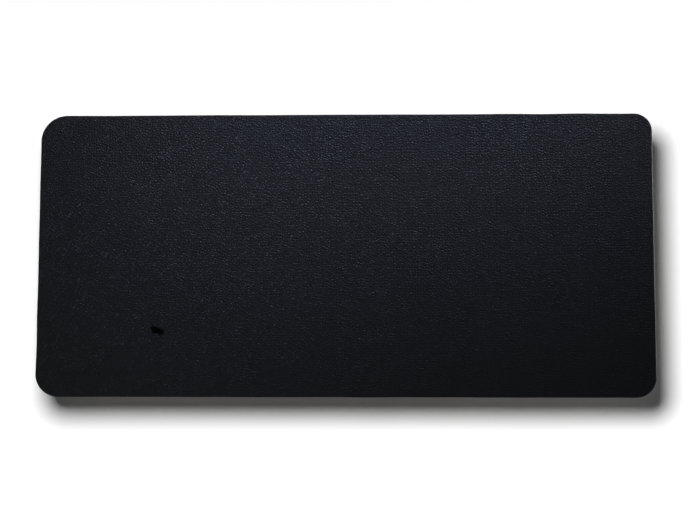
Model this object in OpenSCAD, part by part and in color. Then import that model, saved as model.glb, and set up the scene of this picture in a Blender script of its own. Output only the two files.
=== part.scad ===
// Self-adhesive door kick plate: a grained plastic sheet, with strips of double-sided foam tape
// on its back and a release liner over each strip.
// X runs along the plate, Z points up and the grained face looks towards -Y.
// The origin is the middle of the plane where the liners meet a door.
// Left and right are as seen from the front.

/* [Plate] */
// Width of the plate
plate_w = 660.4; // [500:0.1:1000]
// Height of the plate
plate_h = 304.8; // [200:0.1:420]
// Thickness of the sheet
plate_t = 3.2; // [2:0.1:6]
// Width of the bevel round the edge of the face
bevel = 0.8; // [0.2:0.1:1.2]

/* [Corners] */
// Radius of the top right corner
top_right_r = 19; // [16:1:32]
// Radius of the top left corner
top_left_r = 28; // [16:1:32]
// Radius of the bottom left corner
bottom_left_r = 24; // [16:1:32]
// Radius of the bottom right corner
bottom_right_r = 22; // [16:1:32]

/* [Foam tape] */
// Width of a strip
tape_w = 25; // [18:1:30]
// Thickness of the foam with its adhesive
tape_t = 1.1; // [0.6:0.1:2]
// Distance from the edge of the plate to the outer strips
margin = 13; // [12:1:20]
// Gap between an upright strip and the long strip above or below it
strip_gap = 12; // [11:1:20]

/* [Release liner] */
// Thickness of the liner
liner_t = 0.15; // [0.1:0.05:0.3]
// Length of the tab past the end of the tape
tab_l = 9; // [7:1:10]
// Width of the tab, which ends in a half circle
tab_w = 14; // [10:1:14]

/* [Hidden] */
$fn = 96;

plate_colour = [0.13, 0.135, 0.155];
tape_colour = [0.3, 0.3, 0.31];
liner_colour = [0.93, 0.92, 0.88];

// Y of the back of each layer, counted from the door inwards
liner_y = 0;
tape_y = liner_y - liner_t;
plate_y = tape_y - tape_t;

// Corner radii anticlockwise from the top right
corner_r = [top_right_r, top_left_r, bottom_left_r, bottom_right_r];
half_w = plate_w / 2;
half_h = plate_h / 2;

// The long strips run along X, the upright ones along Z between them
long_l = plate_w - 2 * margin;
long_z = half_h - margin - tape_w / 2;
upright_l = 2 * (long_z - tape_w / 2 - strip_gap);
side_x = half_w - margin - tape_w / 2;
inner_x = side_x / 2;

// How far a cutter runs past what it cuts
over = 1;

// Stands a flat layer up, with the side it was drawn on at y and the rest in front of it
module stand(y) {
    translate([0, y, 0]) rotate([90, 0, 0]) children();
}

// Outline of the plate, with an arc of its own radius at each corner
module plate_outline() {
    difference() {
        square([plate_w, plate_h], center = true);
        for (i = [0:3]) {
            r = corner_r[i];
            sx = (i == 0 || i == 3) ? 1 : -1;
            sz = i < 2 ? 1 : -1;
            translate([sx * (half_w - r), sz * (half_h - r)])
                difference() {
                    translate([sx * r, sz * r]) square(2 * r, center = true);
                    circle(r);
                }
        }
    }
}

// Section of what the bevel takes off: x is outwards from the edge, y is up from the face
module bevel_section() {
    polygon([[over, -bevel - over], [over, over], [-bevel - over, over]]);
}

// The bevel along one side and round the corner at its far end, turned to each side in a loop
module bevel_cuts() {
    for (i = [0:3]) {
        out = i % 2 == 0 ? half_w : half_h;
        along = i % 2 == 0 ? half_h : half_w;
        near_end = along - corner_r[(i + 3) % 4];
        far_end = along - corner_r[i];
        rotate(90 * i) {
            translate([out, far_end, plate_t])
                rotate([90, 0, 0]) linear_extrude(near_end + far_end) bevel_section();
            translate([out - corner_r[i], far_end, plate_t])
                rotate_extrude(angle = 90) translate([corner_r[i], 0]) bevel_section();
        }
    }
}

// One strip of tape with its middle at x, z
module tape(x, z, length, upright = false) {
    size = upright ? [tape_w, length] : [length, tape_w];
    color(tape_colour)
        stand(tape_y) translate([x, z]) linear_extrude(tape_t) square(size, center = true);
}

// The liner over such a strip, with its tab at the right end, or at the foot of an upright one
module liner(x, z, length, upright = false) {
    tab_end = length / 2 + tab_l - tab_w / 2;
    color(liner_colour)
        stand(liner_y) translate([x, z]) rotate(upright ? -90 : 0) linear_extrude(liner_t) {
            square([length, tape_w], center = true);
            translate([0, -tab_w / 2]) square([tab_end, tab_w]);
            translate([tab_end, 0]) circle(tab_w / 2);
        }
}

module face_plate() {
    color(plate_colour)
        stand(plate_y) difference() {
            linear_extrude(plate_t) plate_outline();
            bevel_cuts();
        }
}

module tape_top() { tape(0, long_z, long_l); }
module tape_bottom() { tape(0, -long_z, long_l); }
module tape_left() { tape(-side_x, 0, upright_l, upright = true); }
module tape_right() { tape(side_x, 0, upright_l, upright = true); }
module tape_inner_left() { tape(-inner_x, 0, upright_l, upright = true); }
module tape_middle() { tape(0, 0, upright_l, upright = true); }
module tape_inner_right() { tape(inner_x, 0, upright_l, upright = true); }

module liner_top() { liner(0, long_z, long_l); }
module liner_bottom() { liner(0, -long_z, long_l); }
module liner_left() { liner(-side_x, 0, upright_l, upright = true); }
module liner_right() { liner(side_x, 0, upright_l, upright = true); }
module liner_inner_left() { liner(-inner_x, 0, upright_l, upright = true); }
module liner_middle() { liner(0, 0, upright_l, upright = true); }
module liner_inner_right() { liner(inner_x, 0, upright_l, upright = true); }

face_plate();
tape_top();
tape_bottom();
tape_left();
tape_right();
tape_inner_left();
tape_middle();
tape_inner_right();
liner_top();
liner_bottom();
liner_left();
liner_right();
liner_inner_left();
liner_middle();
liner_inner_right();
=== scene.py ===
"""Looks for a peel-and-stick door kick plate: a grained black plastic sheet, and on its back strips of
foam tape under paper release liners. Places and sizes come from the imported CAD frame."""

import math

import bpy
import numpy as np
from mathutils import Matrix, Vector
from mathutils.geometry import delaunay_2d_cdt
from mathutils.kdtree import KDTree


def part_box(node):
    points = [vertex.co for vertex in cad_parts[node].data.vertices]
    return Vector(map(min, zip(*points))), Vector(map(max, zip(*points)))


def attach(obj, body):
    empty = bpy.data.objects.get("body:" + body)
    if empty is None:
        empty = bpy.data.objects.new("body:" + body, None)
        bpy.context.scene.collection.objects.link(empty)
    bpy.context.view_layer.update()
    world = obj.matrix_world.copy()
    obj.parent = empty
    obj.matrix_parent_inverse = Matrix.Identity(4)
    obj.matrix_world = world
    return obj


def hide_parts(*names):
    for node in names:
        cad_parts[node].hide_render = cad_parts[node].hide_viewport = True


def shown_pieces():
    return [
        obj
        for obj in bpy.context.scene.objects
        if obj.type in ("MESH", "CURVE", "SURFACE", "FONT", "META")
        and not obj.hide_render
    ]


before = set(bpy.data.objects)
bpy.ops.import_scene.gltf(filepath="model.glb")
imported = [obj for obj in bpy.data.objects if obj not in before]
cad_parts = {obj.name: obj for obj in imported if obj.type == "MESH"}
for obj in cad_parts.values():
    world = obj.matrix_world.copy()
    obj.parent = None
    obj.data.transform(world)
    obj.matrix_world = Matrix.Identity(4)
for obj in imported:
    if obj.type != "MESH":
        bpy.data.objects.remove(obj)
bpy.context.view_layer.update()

MM = 0.001
STRIPS = ["top", "bottom", "left", "right", "inner_left", "middle", "inner_right"]

# Two places closer than this are the same
SAME = 0.01 * MM

# The plate as the frame gives it
plate_low, plate_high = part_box("face_plate")
face_y, back_y = plate_low.y, plate_high.y
plate_w = plate_high.x - plate_low.x
plate_h = plate_high.z - plate_low.z
sheet_t = back_y - face_y

# The grain of the face: the size and height of its pebbles in the mesh, and of the cells in its bump
PEBBLE = 3.1 * MM
PEBBLE_RISE = 0.15 * MM
GRAIN_NOISE = 0.02 * MM
BUMP_CELL = 2.9 * MM
BUMP_DEPTH = 0.52 * MM

# The edge of the sheet from its face to its back, as (how far in, how deep). The bevel is in shares of its
# width. Below it, how far in is in millimetres and how deep is a share of the thickness.
BEVEL = 0.8 * MM
BEVEL_SECTION = [(1.3, 0), (1, 0), (0.9, 0.03), (0.74, 0.15), (0.5, 0.38), (0.26, 0.62), (0.1, 0.82),
                 (0.02, 1)]
EDGE_SECTION = [(0, 0.45), (0, 0.85), (0.06, 0.96), (0.25, 1), (1.5, 1)]

# How far the cut edge and the flatness of the sheet wander, and over what length
EDGE_WANDER = 0.18 * MM
EDGE_WAVE = 60 * MM
EDGE_NICKS = 5 * MM
BOW = 0.10 * MM
BOW_WAVE = 160 * MM

# Distance between the points of each mesh: inside the face, along and round the edge, and inside the back
FACE_NET = 1.7 * MM
EDGE_STEP = 2 * MM
ARC_STEP = 1.2 * MM
BACK_NET = 12 * MM
FOAM_STEP = 1.6 * MM
FOAM_NET = 4 * MM
PAPER_STEP = 4 * MM
PAPER_NET = 5 * MM

# A scuffed spot low on the left of the face, where the grain is rubbed flat
SCUFF_X, SCUFF_Z = -0.2008, -0.0813
SCUFF_LONG, SCUFF_WIDE = 8.4 * MM, 4.2 * MM
SCUFF_TURN = math.radians(-18)
SCUFF_DEPTH = 0.1 * MM

# The tape: the millimetres that its cut edge sinks in at even levels from the plate to the liner, and that
# its cells roughen it by, how deep and wide its outer adhesive dimples, and the air left under the liner
FOAM_SINK = [0, 0.12, 0.2, 0.12, 0.02]
FOAM_ROUGH = 0.07
FOAM_DIMPLE = 0.02 * MM
DIMPLE_WAVE = 9 * MM
TAPE_GAP = 0.015 * MM

# The liners: the tab that starts each one's peel, and how far the paper lifts
TAB_W = 14 * MM
TAB_CURL = 1.6 * MM
COCKLE = 0.16 * MM
COCKLE_WAVE = 55 * MM


# ---------------------------------------------------------------- shapes


def ripple(points, wavelength, seed, waves=14):
    """A smooth random height for each flat point, mostly from -1 to 1, from waves in every direction."""
    rng = np.random.default_rng(seed)
    angle = rng.uniform(0, 2 * math.pi, waves)
    length = wavelength * rng.uniform(0.8, 1.5, waves)
    phase = rng.uniform(0, 1, waves)
    along = points[:, :1] * np.cos(angle) + points[:, 1:2] * np.sin(angle)
    return np.cos(2 * math.pi * (along / length + phase)).sum(1) / math.sqrt(2 * waves)


def upright(points, y):
    """Flat points stood up in the frame at y, which is one number or one for each point."""
    return np.column_stack([points[:, 0], np.broadcast_to(y, len(points)), points[:, 1]])


def corner_radius(side_x, side_z):
    """Radius of a corner of the CAD plate, from where its straight top or bottom edge ends."""
    co = np.array([v.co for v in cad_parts["face_plate"].data.vertices])
    on_edge = co[:, 2] * side_z > plate_h / 2 - SAME
    return plate_w / 2 - (co[on_edge, 0] * side_x).max()


def rounded_outline(width, height, radii, step, arc_step):
    """Points round a rectangle with an arc of its own at each corner, anticlockwise from the lower right,
    and the outward normal at each. The radii run anticlockwise from the top right."""
    signs = np.array([(1, 1), (-1, 1), (-1, -1), (1, -1)])
    centres = signs * (np.array([width, height]) / 2 - np.array(radii)[:, None])
    points, normals = [], []
    for i, r in enumerate(radii):
        turn = i * math.pi / 2
        out = np.array([math.cos(turn), math.sin(turn)])
        start, end = centres[i - 1] + out * radii[i - 1], centres[i] + out * r
        count = round(np.linalg.norm(end - start) / step)
        for k in range(count):
            points.append(start + (end - start) * k / count)
            normals.append(out)
        count = round(r * math.pi / 2 / arc_step)
        for k in range(count):
            angle = turn + math.pi / 2 * k / count
            out = np.array([math.cos(angle), math.sin(angle)])
            points.append(centres[i] + out * r)
            normals.append(out)
    return np.array(points), np.array(normals)


def stepped(corners, step):
    """A closed outline through the corners, with points about step apart along each side."""
    points = []
    for a, b in zip(corners, np.roll(corners, -1, axis=0)):
        count = max(1, round(np.linalg.norm(b - a) / step))
        points += [a + (b - a) * k / count for k in range(count)]
    return np.array(points)


def lattice(low, high, pitch, jitter, seed):
    """Points of a triangular lattice over a box, each moved by up to jitter times the pitch."""
    rng = np.random.default_rng(seed)
    rows = np.arange(low[1], high[1], pitch * math.sqrt(3) / 2)
    columns = np.arange(low[0], high[0], pitch)
    x, z = np.meshgrid(columns, rows)
    x = x + (np.arange(len(rows)) % 2)[:, None] * pitch / 2
    points = np.column_stack([x.ravel(), z.ravel()])
    return points + rng.uniform(-jitter, jitter, points.shape) * pitch


def well_inside(points, loop, gap):
    """The points that lie inside a loop and more than gap from it."""
    within = np.zeros(len(points), bool)
    near = np.zeros(len(points), bool)
    for a, b in zip(loop, np.roll(loop, -1, axis=0)):
        level = (a[1] > points[:, 1]) != (b[1] > points[:, 1])
        if level.any():
            share = (points[level, 1] - a[1]) / (b[1] - a[1])
            within[level] ^= points[level, 0] < a[0] + share * (b[0] - a[0])
        close = np.abs(points - (a + b) / 2).max(1) < np.linalg.norm(b - a) / 2 + gap
        offset = points[close] - a
        share = np.clip(offset @ (b - a) / ((b - a) @ (b - a)), 0, 1)
        near[close] |= np.linalg.norm(offset - share[:, None] * (b - a), axis=1) < gap
    return points[within & ~near]


def triangulate(loop, points):
    """Triangles over the inside of a loop, through the points in it, as places in loop then points."""
    every = [Vector(p) / MM for p in np.vstack([loop, points])]
    found = delaunay_2d_cdt(every, [], [list(range(len(loop)))], 1, 1e-6)
    origin = [ids[0] for ids in found[3]]
    return np.array([[origin[v] for v in face] for face in found[2]])


def filled(loop, pitch, seed):
    """An even net over the inside of a loop: its own points, and triangles that count the loop first."""
    points = lattice(loop.min(0), loop.max(0), pitch, 0.2, seed)
    points = well_inside(points, loop, pitch / 2)
    return points, triangulate(loop, points)


def pebbles(points, pitch, seed):
    """Height at each flat point of a field of pebbles: up to 1 on their tops and 0 in the creases between
    them. Each pebble is the ground nearest to one point of a loose lattice."""
    margin = 2 * pitch
    middles = lattice(points.min(0) - margin, points.max(0) + margin, pitch, 0.36, seed)
    tree = KDTree(len(middles))
    for i, middle in enumerate(middles):
        tree.insert((*middle, 0), i)
    tree.balance()
    nearest = [[away for _, _, away in tree.find_n((*point, 0), 2)] for point in points]
    first, second = np.array(nearest).T
    return np.minimum((second - first) / (0.75 * pitch), 1) ** 0.8


def slab(rings, front, back):
    """Vertices, faces and face sides (0 front, 1 edge, 2 back) of a closed slab. rings are the loops round
    its edge from front to back. front and back are (inner points, triangles), which count the loop first."""
    count = len(rings[0])
    (front_in, front_faces), (back_in, back_faces) = front, back
    vertices = np.vstack([*rings, front_in, back_in])
    last = (len(rings) - 1) * count
    front_at = len(rings) * count
    back_at = front_at + len(front_in)
    faces = np.where(front_faces < count, front_faces, front_faces - count + front_at).tolist()
    sides = [0] * len(faces)
    for first in range(0, last, count):
        for k in range(count):
            n = (k + 1) % count
            faces.append([first + k, first + count + k, first + count + n, first + n])
    sides += [1] * last
    turned = np.where(back_faces < count, back_faces + last, back_faces - count + back_at)
    faces += turned[:, ::-1].tolist()
    sides += [2] * len(back_faces)
    return vertices, faces, sides


def new_piece(name, vertices, faces, sides, materials, sharp=math.pi):
    """A smooth-shaded mesh object with one material for each side, and edges over the angle sharp."""
    mesh = bpy.data.meshes.new(name)
    mesh.from_pydata(vertices.tolist(), [], faces)
    for m in materials:
        mesh.materials.append(m)
    mesh.polygons.foreach_set("material_index", np.array(sides, np.int32))
    mesh.polygons.foreach_set("use_smooth", np.ones(len(faces), bool))
    mesh.set_sharp_from_angle(angle=sharp)
    piece = bpy.data.objects.new(name, mesh)
    bpy.context.scene.collection.objects.link(piece)
    return piece


# ---------------------------------------------------------------- pieces


def scuff_share(points):
    """1 in the middle of the scuffed spot, falling to 0 round its ragged edge."""
    c, s = math.cos(SCUFF_TURN), math.sin(SCUFF_TURN)
    x, z = points[:, 0] - SCUFF_X, points[:, 1] - SCUFF_Z
    reach = np.hypot((x * c + z * s) / SCUFF_LONG, (z * c - x * s) / SCUFF_WIDE)
    ragged = reach + 0.2 * ripple(points, 4 * MM, seed=31)
    return np.clip((1.25 - ragged) / 0.5, 0, 1)


def bow(points):
    """How far the face of the sheet bows out at each flat point."""
    return BOW * ripple(points, BOW_WAVE, seed=5)


def relief(points, height):
    """How far each flat point of the face stands out, with pebbles of that height, except where rubbed."""
    rubbed = scuff_share(points)
    uneven = np.random.default_rng(3).uniform(-1, 1, len(points))
    grain = PEBBLE_RISE * (height - 0.5) + GRAIN_NOISE * uneven
    return grain * (1 - 0.85 * rubbed) - SCUFF_DEPTH * rubbed + bow(points)


def edge_rings():
    """Loops round the sheet, from the inside of the bevel over the sawn edge to the broken back edge."""
    radii = [corner_radius(sx, sz) for sx, sz in ((1, 1), (-1, 1), (-1, -1), (1, -1))]
    outline, normals = rounded_outline(plate_w, plate_h, radii, EDGE_STEP, ARC_STEP)
    wander = ripple(outline, EDGE_WAVE, seed=8) + 0.2 * ripple(outline, EDGE_NICKS, seed=4)
    outline = outline + normals * (EDGE_WANDER * wander)[:, None]
    section = [(inset * BEVEL, depth * BEVEL) for inset, depth in BEVEL_SECTION]
    section += [(inset * MM, depth * sheet_t) for inset, depth in EDGE_SECTION]
    rings = []
    for inset, depth in section:
        loop = outline - normals * inset
        rings.append(upright(loop, face_y + depth - bow(loop) * (1 - depth / sheet_t)))
    return rings


def make_face_sheet(materials):
    """The plastic sheet: pebbled face, softened bevel, sawn edge and smooth back."""
    rings = edge_rings()
    flat, faces = filled(rings[0][:, [0, 2]], FACE_NET, seed=1)
    height = pebbles(flat, PEBBLE, seed=2)
    face = upright(flat, face_y - relief(flat, height))
    back_net, back_faces = filled(rings[-1][:, [0, 2]], BACK_NET, seed=7)
    vertices, every, sides = slab(rings, (face, faces), (upright(back_net, back_y), back_faces))
    piece = new_piece("face_sheet", vertices, every, sides, materials, sharp=math.radians(50))

    # How deep in a crease each point of the face lies, for the painted shade; the edge and the back are in
    # between
    crease_shade = np.full(len(vertices), 0.5)
    first = len(rings) * len(rings[0])
    crease_shade[first:first + len(flat)] = 1 - height
    piece.data.attributes.new("crease_shade", "FLOAT", "POINT").data.foreach_set("value", crease_shade)
    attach(piece, "plate")
    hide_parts("face_plate")


def strip_place(strip):
    """The box of a strip's tape, its length and width, and a function that lays points drawn with the
    strip along +X, and its tab at that end, where the strip is. An upright strip has its tab at the foot."""
    low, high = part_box("tape_" + strip)
    size = high - low
    centre = np.array([(low.x + high.x) / 2, (low.z + high.z) / 2])
    if size.x > size.z:
        return low, high, size.x, size.z, lambda p: centre + p
    return low, high, size.z, size.x, lambda p: centre + p[:, ::-1] * [1, -1]


def edge_share(outline, middle):
    """For each point of a rectangle's outline, 1 on the axis that its side faces and 0 on the other."""
    reach = np.abs(outline - middle)
    return (reach > reach.max(0) - SAME).astype(float)


def make_foam(strip, materials):
    """One strip of foam tape: an adhesive face each side and open cells round its cut edge."""
    low, high, length, width, laid = strip_place(strip)
    seed = 100 + 10 * STRIPS.index(strip)
    half = np.array([length, width]) / 2
    outline = laid(stepped(half * [(1, -1), (1, 1), (-1, 1), (-1, -1)], FOAM_STEP))
    middle = outline.mean(0)
    rng = np.random.default_rng(seed)
    levels = np.linspace(low.y, high.y - TAPE_GAP, len(FOAM_SINK))
    rings = []
    for sink, y in zip(FOAM_SINK, levels):
        pull = sink * MM + rng.uniform(-FOAM_ROUGH, FOAM_ROUGH, (len(outline), 2)) * MM * (sink > 0.1)
        loop = outline - np.sign(outline - middle) * pull * edge_share(outline, middle)
        rings.append(upright(loop, y))
    nets = [filled(ring[:, [0, 2]], FOAM_NET, seed + 1 + i) for i, ring in enumerate((rings[0], rings[-1]))]
    dimple = FOAM_DIMPLE * (1 + ripple(nets[1][0], DIMPLE_WAVE, seed + 3))
    front = (upright(nets[0][0], low.y), nets[0][1])
    back = (upright(nets[1][0], high.y - TAPE_GAP - dimple), nets[1][1])
    piece = new_piece("foam_" + strip, *slab(rings, front, back), materials, sharp=math.radians(50))
    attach(piece, "plate")
    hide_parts("tape_" + strip)


def tabbed_outline(length, width, tab_l):
    """Corners of a liner drawn along +X about its middle, with a round-ended tab past that end."""
    r = TAB_W / 2
    tip = length / 2 + tab_l - r
    turns = np.linspace(-math.pi / 2, math.pi / 2, 17)
    tab = [(tip + r * math.cos(a), r * math.sin(a)) for a in turns]
    x, z = length / 2, width / 2
    return np.array([(x, -r), *tab, (x, r), (x, z), (-x, z), (-x, -z), (x, -z)])


def paper_lift(points, length, tab_l, seed):
    """How far the paper stands off the tape at each flat point: its cockle, and the curl of its tab."""
    past = np.clip((points[:, 0] - length / 2) / tab_l, 0, 1)
    cockle = COCKLE * (1 + ripple(points, COCKLE_WAVE, seed)) / 2
    return np.maximum(cockle + TAB_CURL * past ** 1.6, 0)


def make_paper(strip, materials):
    """One release liner, cockled a little, with the tab at its end curling away from the plate."""
    _, _, length, width, laid = strip_place(strip)
    paper_low, paper_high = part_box("liner_" + strip)
    tab_l = max(paper_high.x - paper_low.x, paper_high.z - paper_low.z) - length
    seed = 200 + 10 * STRIPS.index(strip)
    loop = stepped(tabbed_outline(length, width, tab_l), PAPER_STEP)
    net, faces = filled(loop, PAPER_NET, seed)
    loop_lift, net_lift = [paper_lift(points, length, tab_l, seed + 1) for points in (loop, net)]
    rings = [upright(laid(loop), y + loop_lift) for y in (paper_low.y, paper_high.y)]
    front, back = [upright(laid(net), y + net_lift) for y in (paper_low.y, paper_high.y)]
    solid = slab(rings, (front, faces), (back, faces))
    piece = new_piece("paper_" + strip, *solid, materials, sharp=math.radians(40))
    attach(piece, "liner_" + strip)
    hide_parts("liner_" + strip)


# ---------------------------------------------------------------- materials


def add(tree, kind, feeds=None, **settings):
    """A new node. feeds gives inputs, by name or number, a value or the socket that feeds them."""
    node = tree.nodes.new(kind)
    for key, value in settings.items():
        setattr(node, key, value)
    for key, value in (feeds or {}).items():
        if isinstance(value, bpy.types.NodeSocket):
            tree.links.new(value, node.inputs[key])
        else:
            node.inputs[key].default_value = value
    return node


def new_material(name):
    """A node material with only a Principled shader, as the material, its tree and the shader."""
    material = bpy.data.materials.new(name)
    material.use_nodes = True
    tree = material.node_tree
    return material, tree, tree.nodes["Principled BSDF"]


def place(tree, stretch=(1, 1, 1)):
    """The point on the piece in metres, with each axis multiplied."""
    point = add(tree, "ShaderNodeTexCoord").outputs["Object"]
    return add(tree, "ShaderNodeMapping", {"Vector": point, "Scale": stretch}).outputs["Vector"]


def noise(tree, where, size, detail=3.0):
    """Noise from about 0.2 to 0.8 whose features are about size metres across."""
    feeds = {"Vector": where, "Scale": 1 / size, "Detail": detail, "Roughness": 0.55}
    return add(tree, "ShaderNodeTexNoise", feeds).outputs["Fac"]


def ramp(tree, value, start, end, low, high):
    """value as it goes from start to end, turned into low to high and held there."""
    feeds = {"Value": value, "From Min": start, "From Max": end, "To Min": low, "To Max": high}
    return add(tree, "ShaderNodeMapRange", feeds).outputs["Result"]


def mixed(tree, share, first, second):
    """Colour between first and second."""
    return add(tree, "ShaderNodeMix", {0: share, 6: first, 7: second}, data_type="RGBA").outputs[2]


def blended(tree, share, first, second):
    """Number between first and second."""
    return add(tree, "ShaderNodeMix", {0: share, 2: first, 3: second}).outputs[0]


def calculated(tree, operation, first, second):
    """What a Math node's operation makes of two values."""
    return add(tree, "ShaderNodeMath", {0: first, 1: second}, operation=operation).outputs[0]


def plus(tree, first, second):
    """Sum of two values."""
    return calculated(tree, "ADD", first, second)


def times(tree, first, second):
    """Product of two values."""
    return calculated(tree, "MULTIPLY", first, second)


def bumped(tree, shader, height, depth):
    """Gives the shader a bump that stands depth metres high where height goes from 0 to 1."""
    bump = add(tree, "ShaderNodeBump", {"Height": height, "Distance": depth, "Strength": 1.0})
    tree.links.new(bump.outputs["Normal"], shader.inputs["Normal"])


def scuff_mask(tree):
    """1 inside the scuffed spot and 0 outside, with a ragged edge."""
    point = add(tree, "ShaderNodeTexCoord").outputs["Object"]
    feeds = {
        "Vector": point,
        "Location": (SCUFF_X, 0, SCUFF_Z),
        "Rotation": (0, -SCUFF_TURN, 0),
        "Scale": (SCUFF_LONG, 1, SCUFF_WIDE),
    }
    oval = add(tree, "ShaderNodeMapping", feeds, vector_type="TEXTURE").outputs["Vector"]
    reach = add(tree, "ShaderNodeVectorMath", {0: oval}, operation="LENGTH").outputs["Value"]
    ragged = plus(tree, reach, ramp(tree, noise(tree, place(tree), 3 * MM), 0.3, 0.7, -0.35, 0.35))
    return ramp(tree, ragged, 0.75, 1.15, 1.0, 0.0)


def grained_plastic():
    """Matte black plastic with a leather grain: smoother tops and duller creases, with painted shade that
    darkens the creases. The scuffed spot has no grain, and is partly metallic so that its reflections are as
    dark as its colour."""
    material, tree, shader = new_material("grained_black_plastic")
    where = place(tree)
    crease_shade = add(tree, "ShaderNodeAttribute", attribute_name="crease_shade").outputs["Fac"]
    patches = ramp(tree, noise(tree, where, 90 * MM), 0.35, 0.65, 0, 1)
    specks = ramp(tree, noise(tree, where, 1.2 * MM), 0.3, 0.7, 0, 1)
    scuffed = scuff_mask(tree)
    colour = mixed(tree, patches, (0.0066, 0.0070, 0.0088, 1), (0.0080, 0.0085, 0.0105, 1))
    # Painted shade: the colour is darkened in the creases of the grain, by up to half, towards a dark
    # blue-grey
    colour = mixed(tree, times(tree, crease_shade, 0.5), colour, (0.0035, 0.0037, 0.0048, 1))
    colour = mixed(tree, scuffed, colour, (0.0012, 0.0012, 0.0014, 1))
    tree.links.new(colour, shader.inputs["Base Color"])
    feeds = {"Vector": where, "Scale": 1 / BUMP_CELL, "Randomness": 0.85}
    cells = add(tree, "ShaderNodeTexVoronoi", feeds, feature="DISTANCE_TO_EDGE").outputs["Distance"]
    tops = ramp(tree, cells, 0, 0.4, 0, 1)
    rough = plus(tree, ramp(tree, tops, 0, 1, 0.50, 0.42), ramp(tree, specks, 0, 1, -0.03, 0.05))
    rough = plus(tree, rough, ramp(tree, patches, 0, 1, -0.02, 0.02))
    tree.links.new(blended(tree, scuffed, rough, 0.32), shader.inputs["Roughness"])
    tree.links.new(times(tree, scuffed, 0.8), shader.inputs["Metallic"])
    shader.inputs["Specular IOR Level"].default_value = 0.5
    grain = plus(tree, tops, times(tree, specks, 0.3))
    unrubbed = calculated(tree, "SUBTRACT", 1, scuffed)
    bumped(tree, shader, times(tree, grain, unrubbed), BUMP_DEPTH)
    return material


def cut_edge():
    """The sawn and broken edge of the sheet, with fine marks across its thickness."""
    material, tree, shader = new_material("cut_black_plastic")
    marks = ramp(tree, noise(tree, place(tree, (1, 0.06, 1)), 0.9 * MM), 0.3, 0.7, 0, 1)
    worn = ramp(tree, noise(tree, place(tree), 25 * MM), 0.45, 0.7, 0, 1)
    colour = mixed(tree, marks, (0.0065, 0.0068, 0.0080, 1), (0.0105, 0.0110, 0.0130, 1))
    colour = mixed(tree, times(tree, worn, 0.5), colour, (0.022, 0.022, 0.024, 1))
    tree.links.new(colour, shader.inputs["Base Color"])
    tree.links.new(ramp(tree, marks, 0, 1, 0.36, 0.6), shader.inputs["Roughness"])
    bumped(tree, shader, marks, 0.03 * MM)
    return material


def smooth_back():
    """The back of the sheet: satin, with faint lines along it from the die and a few handling marks."""
    material, tree, shader = new_material("smooth_black_plastic")
    lines = noise(tree, place(tree, (0.01, 1, 1)), 1.6 * MM, detail=4.0)
    smears = ramp(tree, noise(tree, place(tree, (0.5, 1, 1)), 60 * MM), 0.4, 0.65, 0, 1)
    scratches = ramp(tree, noise(tree, place(tree, (0.05, 1, 1.6)), 4 * MM), 0.68, 0.72, 0, 1)
    colour = mixed(tree, smears, (0.0090, 0.0094, 0.0110, 1), (0.0125, 0.0130, 0.0150, 1))
    colour = mixed(tree, scratches, colour, (0.030, 0.030, 0.033, 1))
    tree.links.new(colour, shader.inputs["Base Color"])
    rough = plus(tree, ramp(tree, smears, 0, 1, 0.27, 0.36), ramp(tree, lines, 0.3, 0.7, -0.03, 0.03))
    tree.links.new(plus(tree, rough, times(tree, scratches, 0.2)), shader.inputs["Roughness"])
    bumped(tree, shader, lines, 0.012 * MM)
    return material


def open_foam():
    """Charcoal foam, cut so that its small cells show, with painted shade in the hollow of each cell."""
    material, tree, shader = new_material("charcoal_foam")
    where = place(tree)
    cells = add(tree, "ShaderNodeTexVoronoi", {"Vector": where, "Scale": 1 / (0.38 * MM)})
    pores = ramp(tree, cells.outputs["Distance"], 0.1, 0.6, 0, 1)
    patches = ramp(tree, noise(tree, where, 6 * MM), 0.3, 0.7, 0, 1)
    # Painted shade: the hollow of each cell, where its bump is lowest, is darker in colour
    colour = mixed(tree, pores, (0.014, 0.014, 0.015, 1), (0.060, 0.060, 0.063, 1))
    colour = mixed(tree, times(tree, patches, 0.4), colour, (0.040, 0.040, 0.042, 1))
    tree.links.new(colour, shader.inputs["Base Color"])
    tree.links.new(ramp(tree, patches, 0, 1, 0.85, 0.95), shader.inputs["Roughness"])
    bumped(tree, shader, pores, 0.12 * MM)
    return material


def tacky_face():
    """The adhesive on the foam: a dark film, shiny in patches, that has taken the foam's texture."""
    material, tree, shader = new_material("adhesive_film")
    where = place(tree)
    orange_peel = noise(tree, where, 1.4 * MM)
    patches = ramp(tree, noise(tree, where, 14 * MM), 0.35, 0.65, 0, 1)
    colour = mixed(tree, patches, (0.034, 0.033, 0.031, 1), (0.052, 0.050, 0.046, 1))
    tree.links.new(colour, shader.inputs["Base Color"])
    tree.links.new(ramp(tree, patches, 0, 1, 0.18, 0.42), shader.inputs["Roughness"])
    bumped(tree, shader, orange_peel, 0.05 * MM)
    return material


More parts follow.
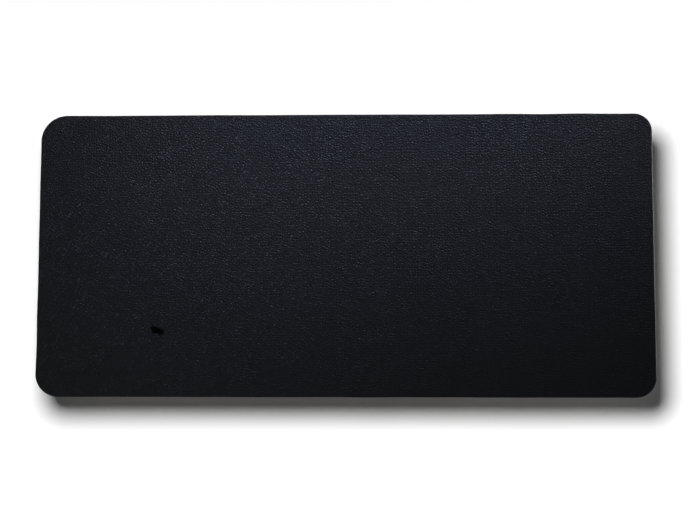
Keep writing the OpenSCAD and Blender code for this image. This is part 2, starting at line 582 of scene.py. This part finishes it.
def release_paper(name, rough, coat):
    """Off-white paper with fibres and a mottled look; coat is how much silicone shines on it."""
    material, tree, shader = new_material(name)
    fibres = noise(tree, place(tree, (0.25, 1, 1)), 0.7 * MM, detail=5.0)
    clouds = ramp(tree, noise(tree, place(tree), 18 * MM), 0.35, 0.65, 0, 1)
    flecks = ramp(tree, noise(tree, place(tree, (0.3, 1, 1)), 2.2 * MM), 0.66, 0.74, 0, 0.35)
    colour = mixed(tree, clouds, (0.760, 0.735, 0.670, 1), (0.830, 0.810, 0.750, 1))
    colour = mixed(tree, ramp(tree, fibres, 0.35, 0.65, 0, 0.35), colour, (0.700, 0.670, 0.600, 1))
    colour = mixed(tree, flecks, colour, (0.560, 0.500, 0.400, 1))
    tree.links.new(colour, shader.inputs["Base Color"])
    tree.links.new(ramp(tree, fibres, 0.3, 0.7, rough - 0.06, rough + 0.06), shader.inputs["Roughness"])
    shader.inputs["Coat Weight"].default_value = coat
    shader.inputs["Coat Roughness"].default_value = 0.25
    bumped(tree, shader, fibres, 0.02 * MM)
    return material


# ---------------------------------------------------------------- stage, lights and camera

# The wall is clear of the liners at the end of their travel, and the floor clear of the photograph's view
WALL_GAP = 0.055
FLOOR_Z = plate_low.z - 0.19
WALL_GREY = 0.25
FLOOR_GREY = 0.25

# Where the lamp is that throws the photograph's shadow on the wall; it faces the wall squarely
WALL_LAMP = Vector((-0.212, face_y - 1.105, 0.305))

# How far from the middle the wall and the floor start to melt into the white round them, and end
WALL_FADE = (0.48, 0.62)
FLOOR_FADE = (0.8, 1.9)

# The photograph's view of the face
VIEW_AZIMUTH, VIEW_ELEVATION, VIEW_ROLL = math.radians(1.85), math.radians(-6.19), math.radians(0.12)
VIEW_DISTANCE = 1.607
VIEW_TARGET = Vector((0.0060, face_y, -0.0087))
VIEW_LENS = 77.2


def direction(azimuth, elevation):
    """Unit vector from the object towards a place round it; azimuth 0 is in front."""
    flat = math.cos(elevation)
    return Vector((math.sin(azimuth) * flat, -math.cos(azimuth) * flat, math.sin(elevation)))


def aim(thing, place_at, target, roll=0.0):
    """Puts a light or camera at a place, looking at the target with its top upwards."""
    turn = (target - place_at).to_track_quat("-Z", "Y").to_matrix().to_4x4()
    thing.matrix_world = Matrix.Translation(place_at) @ turn @ Matrix.Rotation(roll, 4, "Z")


def evening(tree):
    """How much paler the wall must be at each point for the light of its lamp, which falls off, to look
    even: 1 straight ahead of the lamp, and rising with the fourth power of the distance from it."""
    away = add(tree, "ShaderNodeVectorMath", {0: place(tree), 1: WALL_LAMP}, operation="DISTANCE")
    share = calculated(tree, "DIVIDE", away.outputs["Value"], WALL_GAP - WALL_LAMP.y)
    return calculated(tree, "POWER", share, 4)


def backdrop_material(name, grey, fade, one_sided):
    """Matte backdrop with a faint mottle, which melts into white. A one-sided one can't be seen from behind,
    nor stops light, and evens out the light of the wall's lamp."""
    material, tree, shader = new_material(name)
    mottle = ramp(tree, noise(tree, place(tree), 0.2), 0.3, 0.7, 0.99 * grey, 1.01 * grey)
    if one_sided:
        mottle = times(tree, mottle, evening(tree))
    colour = add(tree, "ShaderNodeCombineColor", {0: mottle, 1: mottle, 2: mottle}).outputs[0]
    matte = add(tree, "ShaderNodeBsdfDiffuse", {"Color": colour}).outputs[0]
    away = add(tree, "ShaderNodeVectorMath", {0: place(tree)}, operation="LENGTH").outputs["Value"]
    white = add(tree, "ShaderNodeEmission", {"Color": (1, 1, 1, 1), "Strength": 1.0}).outputs[0]
    gone = ramp(tree, away, *fade, 0, 1)
    matte = add(tree, "ShaderNodeMixShader", {0: gone, 1: matte, 2: white}).outputs[0]
    if one_sided:
        behind = add(tree, "ShaderNodeNewGeometry").outputs["Backfacing"]
        clear = add(tree, "ShaderNodeBsdfTransparent").outputs[0]
        matte = add(tree, "ShaderNodeMixShader", {0: behind, 1: matte, 2: clear}).outputs[0]
    tree.nodes.remove(shader)
    tree.links.new(matte, tree.nodes["Material Output"].inputs["Surface"])
    return material


def group(name, things):
    """A collection of things, for the lights that are linked to them."""
    collection = bpy.data.collections.new(name)
    bpy.context.scene.collection.children.link(collection)
    for thing in things:
        collection.objects.link(thing)
    return collection


def make_backdrop(name, corners, grey, fade, one_sided):
    """A flat part of the stage, which throws no light on the plate."""
    mesh = bpy.data.meshes.new(name)
    mesh.from_pydata(corners, [], [(0, 1, 2, 3)])
    mesh.materials.append(backdrop_material(name, grey, fade, one_sided))
    thing = bpy.data.objects.new(name, mesh)
    thing.visible_diffuse = False
    thing.visible_glossy = False
    return group(name + "_stage", [thing])


def make_wall():
    """The wall behind the plate, which can be seen only from the front."""
    r = WALL_FADE[1]
    corners = [(-r, WALL_GAP, FLOOR_Z), (r, WALL_GAP, FLOOR_Z), (r, WALL_GAP, r), (-r, WALL_GAP, r)]
    return make_backdrop("wall", corners, WALL_GREY, WALL_FADE, one_sided=True)


def make_floor():
    """The floor below the plate."""
    r = FLOOR_FADE[1]
    corners = [(-r, -r, FLOOR_Z), (r, -r, FLOOR_Z), (r, r, FLOOR_Z), (-r, r, FLOOR_Z)]
    return make_backdrop("floor", corners, FLOOR_GREY, FLOOR_FADE, one_sided=False)


def lamp(name, kind, lit, blockers, place_at, target, **settings):
    """A light that only lights one collection, that only another one shades, and that isn't seen itself."""
    light = bpy.data.lights.new(name, kind)
    for key, value in settings.items():
        setattr(light, key, value)
    thing = bpy.data.objects.new(name, light)
    bpy.context.scene.collection.objects.link(thing)
    aim(thing, Vector(place_at), Vector(target))
    thing.visible_camera = False
    thing.light_linking.receiver_collection = lit
    thing.light_linking.blocker_collection = blockers


def make_world():
    """White where the camera sees it, and a dim even grey for everything else."""
    world = bpy.data.worlds.new("studio")
    world.use_nodes = True
    tree = world.node_tree
    tree.nodes.clear()
    seen = add(tree, "ShaderNodeLightPath").outputs["Is Camera Ray"]
    dim = add(tree, "ShaderNodeBackground", {"Color": (0.95, 0.95, 1.0, 1), "Strength": 0.076}).outputs[0]
    white = add(tree, "ShaderNodeBackground", {"Color": (1, 1, 1, 1), "Strength": 1.0}).outputs[0]
    both = add(tree, "ShaderNodeMixShader", {0: seen, 1: dim, 2: white}).outputs[0]
    output = add(tree, "ShaderNodeOutputWorld")
    tree.links.new(both, output.inputs["Surface"])
    bpy.context.scene.world = world


def make_lights(wall, floor, pieces):
    """The wall, the floor and the object have lights of their own, so that each keeps its brightness."""
    middle = (0, face_y, 0)
    ahead = WALL_LAMP + Vector((0, 1, 0))
    lamp("wall_key", "AREA", wall, pieces, WALL_LAMP, ahead, shape="DISK", size=0.64, energy=56)
    lamp("wall_fill", "AREA", wall, pieces, WALL_LAMP, ahead, size=0.5, energy=1.6, use_shadow=False)
    lamp("floor_sun", "SUN", floor, pieces, (0, 0, 2), (0, 0, 0), energy=11, angle=math.radians(40))

    # The softbox lights the face from above, as in the photograph, and the others show the sides and the back
    cool = (0.63, 0.71, 0.98)
    lamp("softbox", "AREA", pieces, pieces, (0.22, -0.8, 1.0), (0.05, face_y, 0.22), shape="RECTANGLE",
         size=0.7, size_y=0.25, spread=math.radians(26), energy=0.5, color=cool)
    lamp("low_bounce", "AREA", pieces, pieces, (-1.48, -0.92, -0.80), middle, size=0.6, energy=2.5)
    lamp("edge_light", "AREA", pieces, pieces, (1.7, 0.3, 0.4), middle, size=0.7, energy=14)
    lamp("rear_fill", "AREA", pieces, pieces, (-1.2, 1.6, 0.9), middle, size=1.2, energy=52)
    lamp("rear_sheen", "AREA", pieces, pieces, (1.3, 1.3, -0.35), middle, size=0.9, energy=3)


def make_camera():
    """The photograph's camera."""
    data = bpy.data.cameras.new("camera")
    data.sensor_width = 36
    data.lens = VIEW_LENS
    camera = bpy.data.objects.new("camera", data)
    bpy.context.scene.collection.objects.link(camera)
    eye = VIEW_TARGET + direction(VIEW_AZIMUTH, VIEW_ELEVATION) * VIEW_DISTANCE
    aim(camera, eye, VIEW_TARGET, VIEW_ROLL)
    bpy.context.scene.camera = camera


make_face_sheet([grained_plastic(), cut_edge(), smooth_back()])
foam, tacky = open_foam(), tacky_face()
paper = release_paper("liner_paper_outside", 0.62, 0.0)
silicone = release_paper("liner_paper_silicone", 0.42, 0.35)
for strip in STRIPS:
    make_foam(strip, [tacky, foam, tacky])
    make_paper(strip, [silicone, paper, paper])

pieces = group("kick_plate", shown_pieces())
make_lights(make_wall(), make_floor(), pieces)
make_world()
make_camera()
bpy.context.scene.view_settings.view_transform = "Standard"
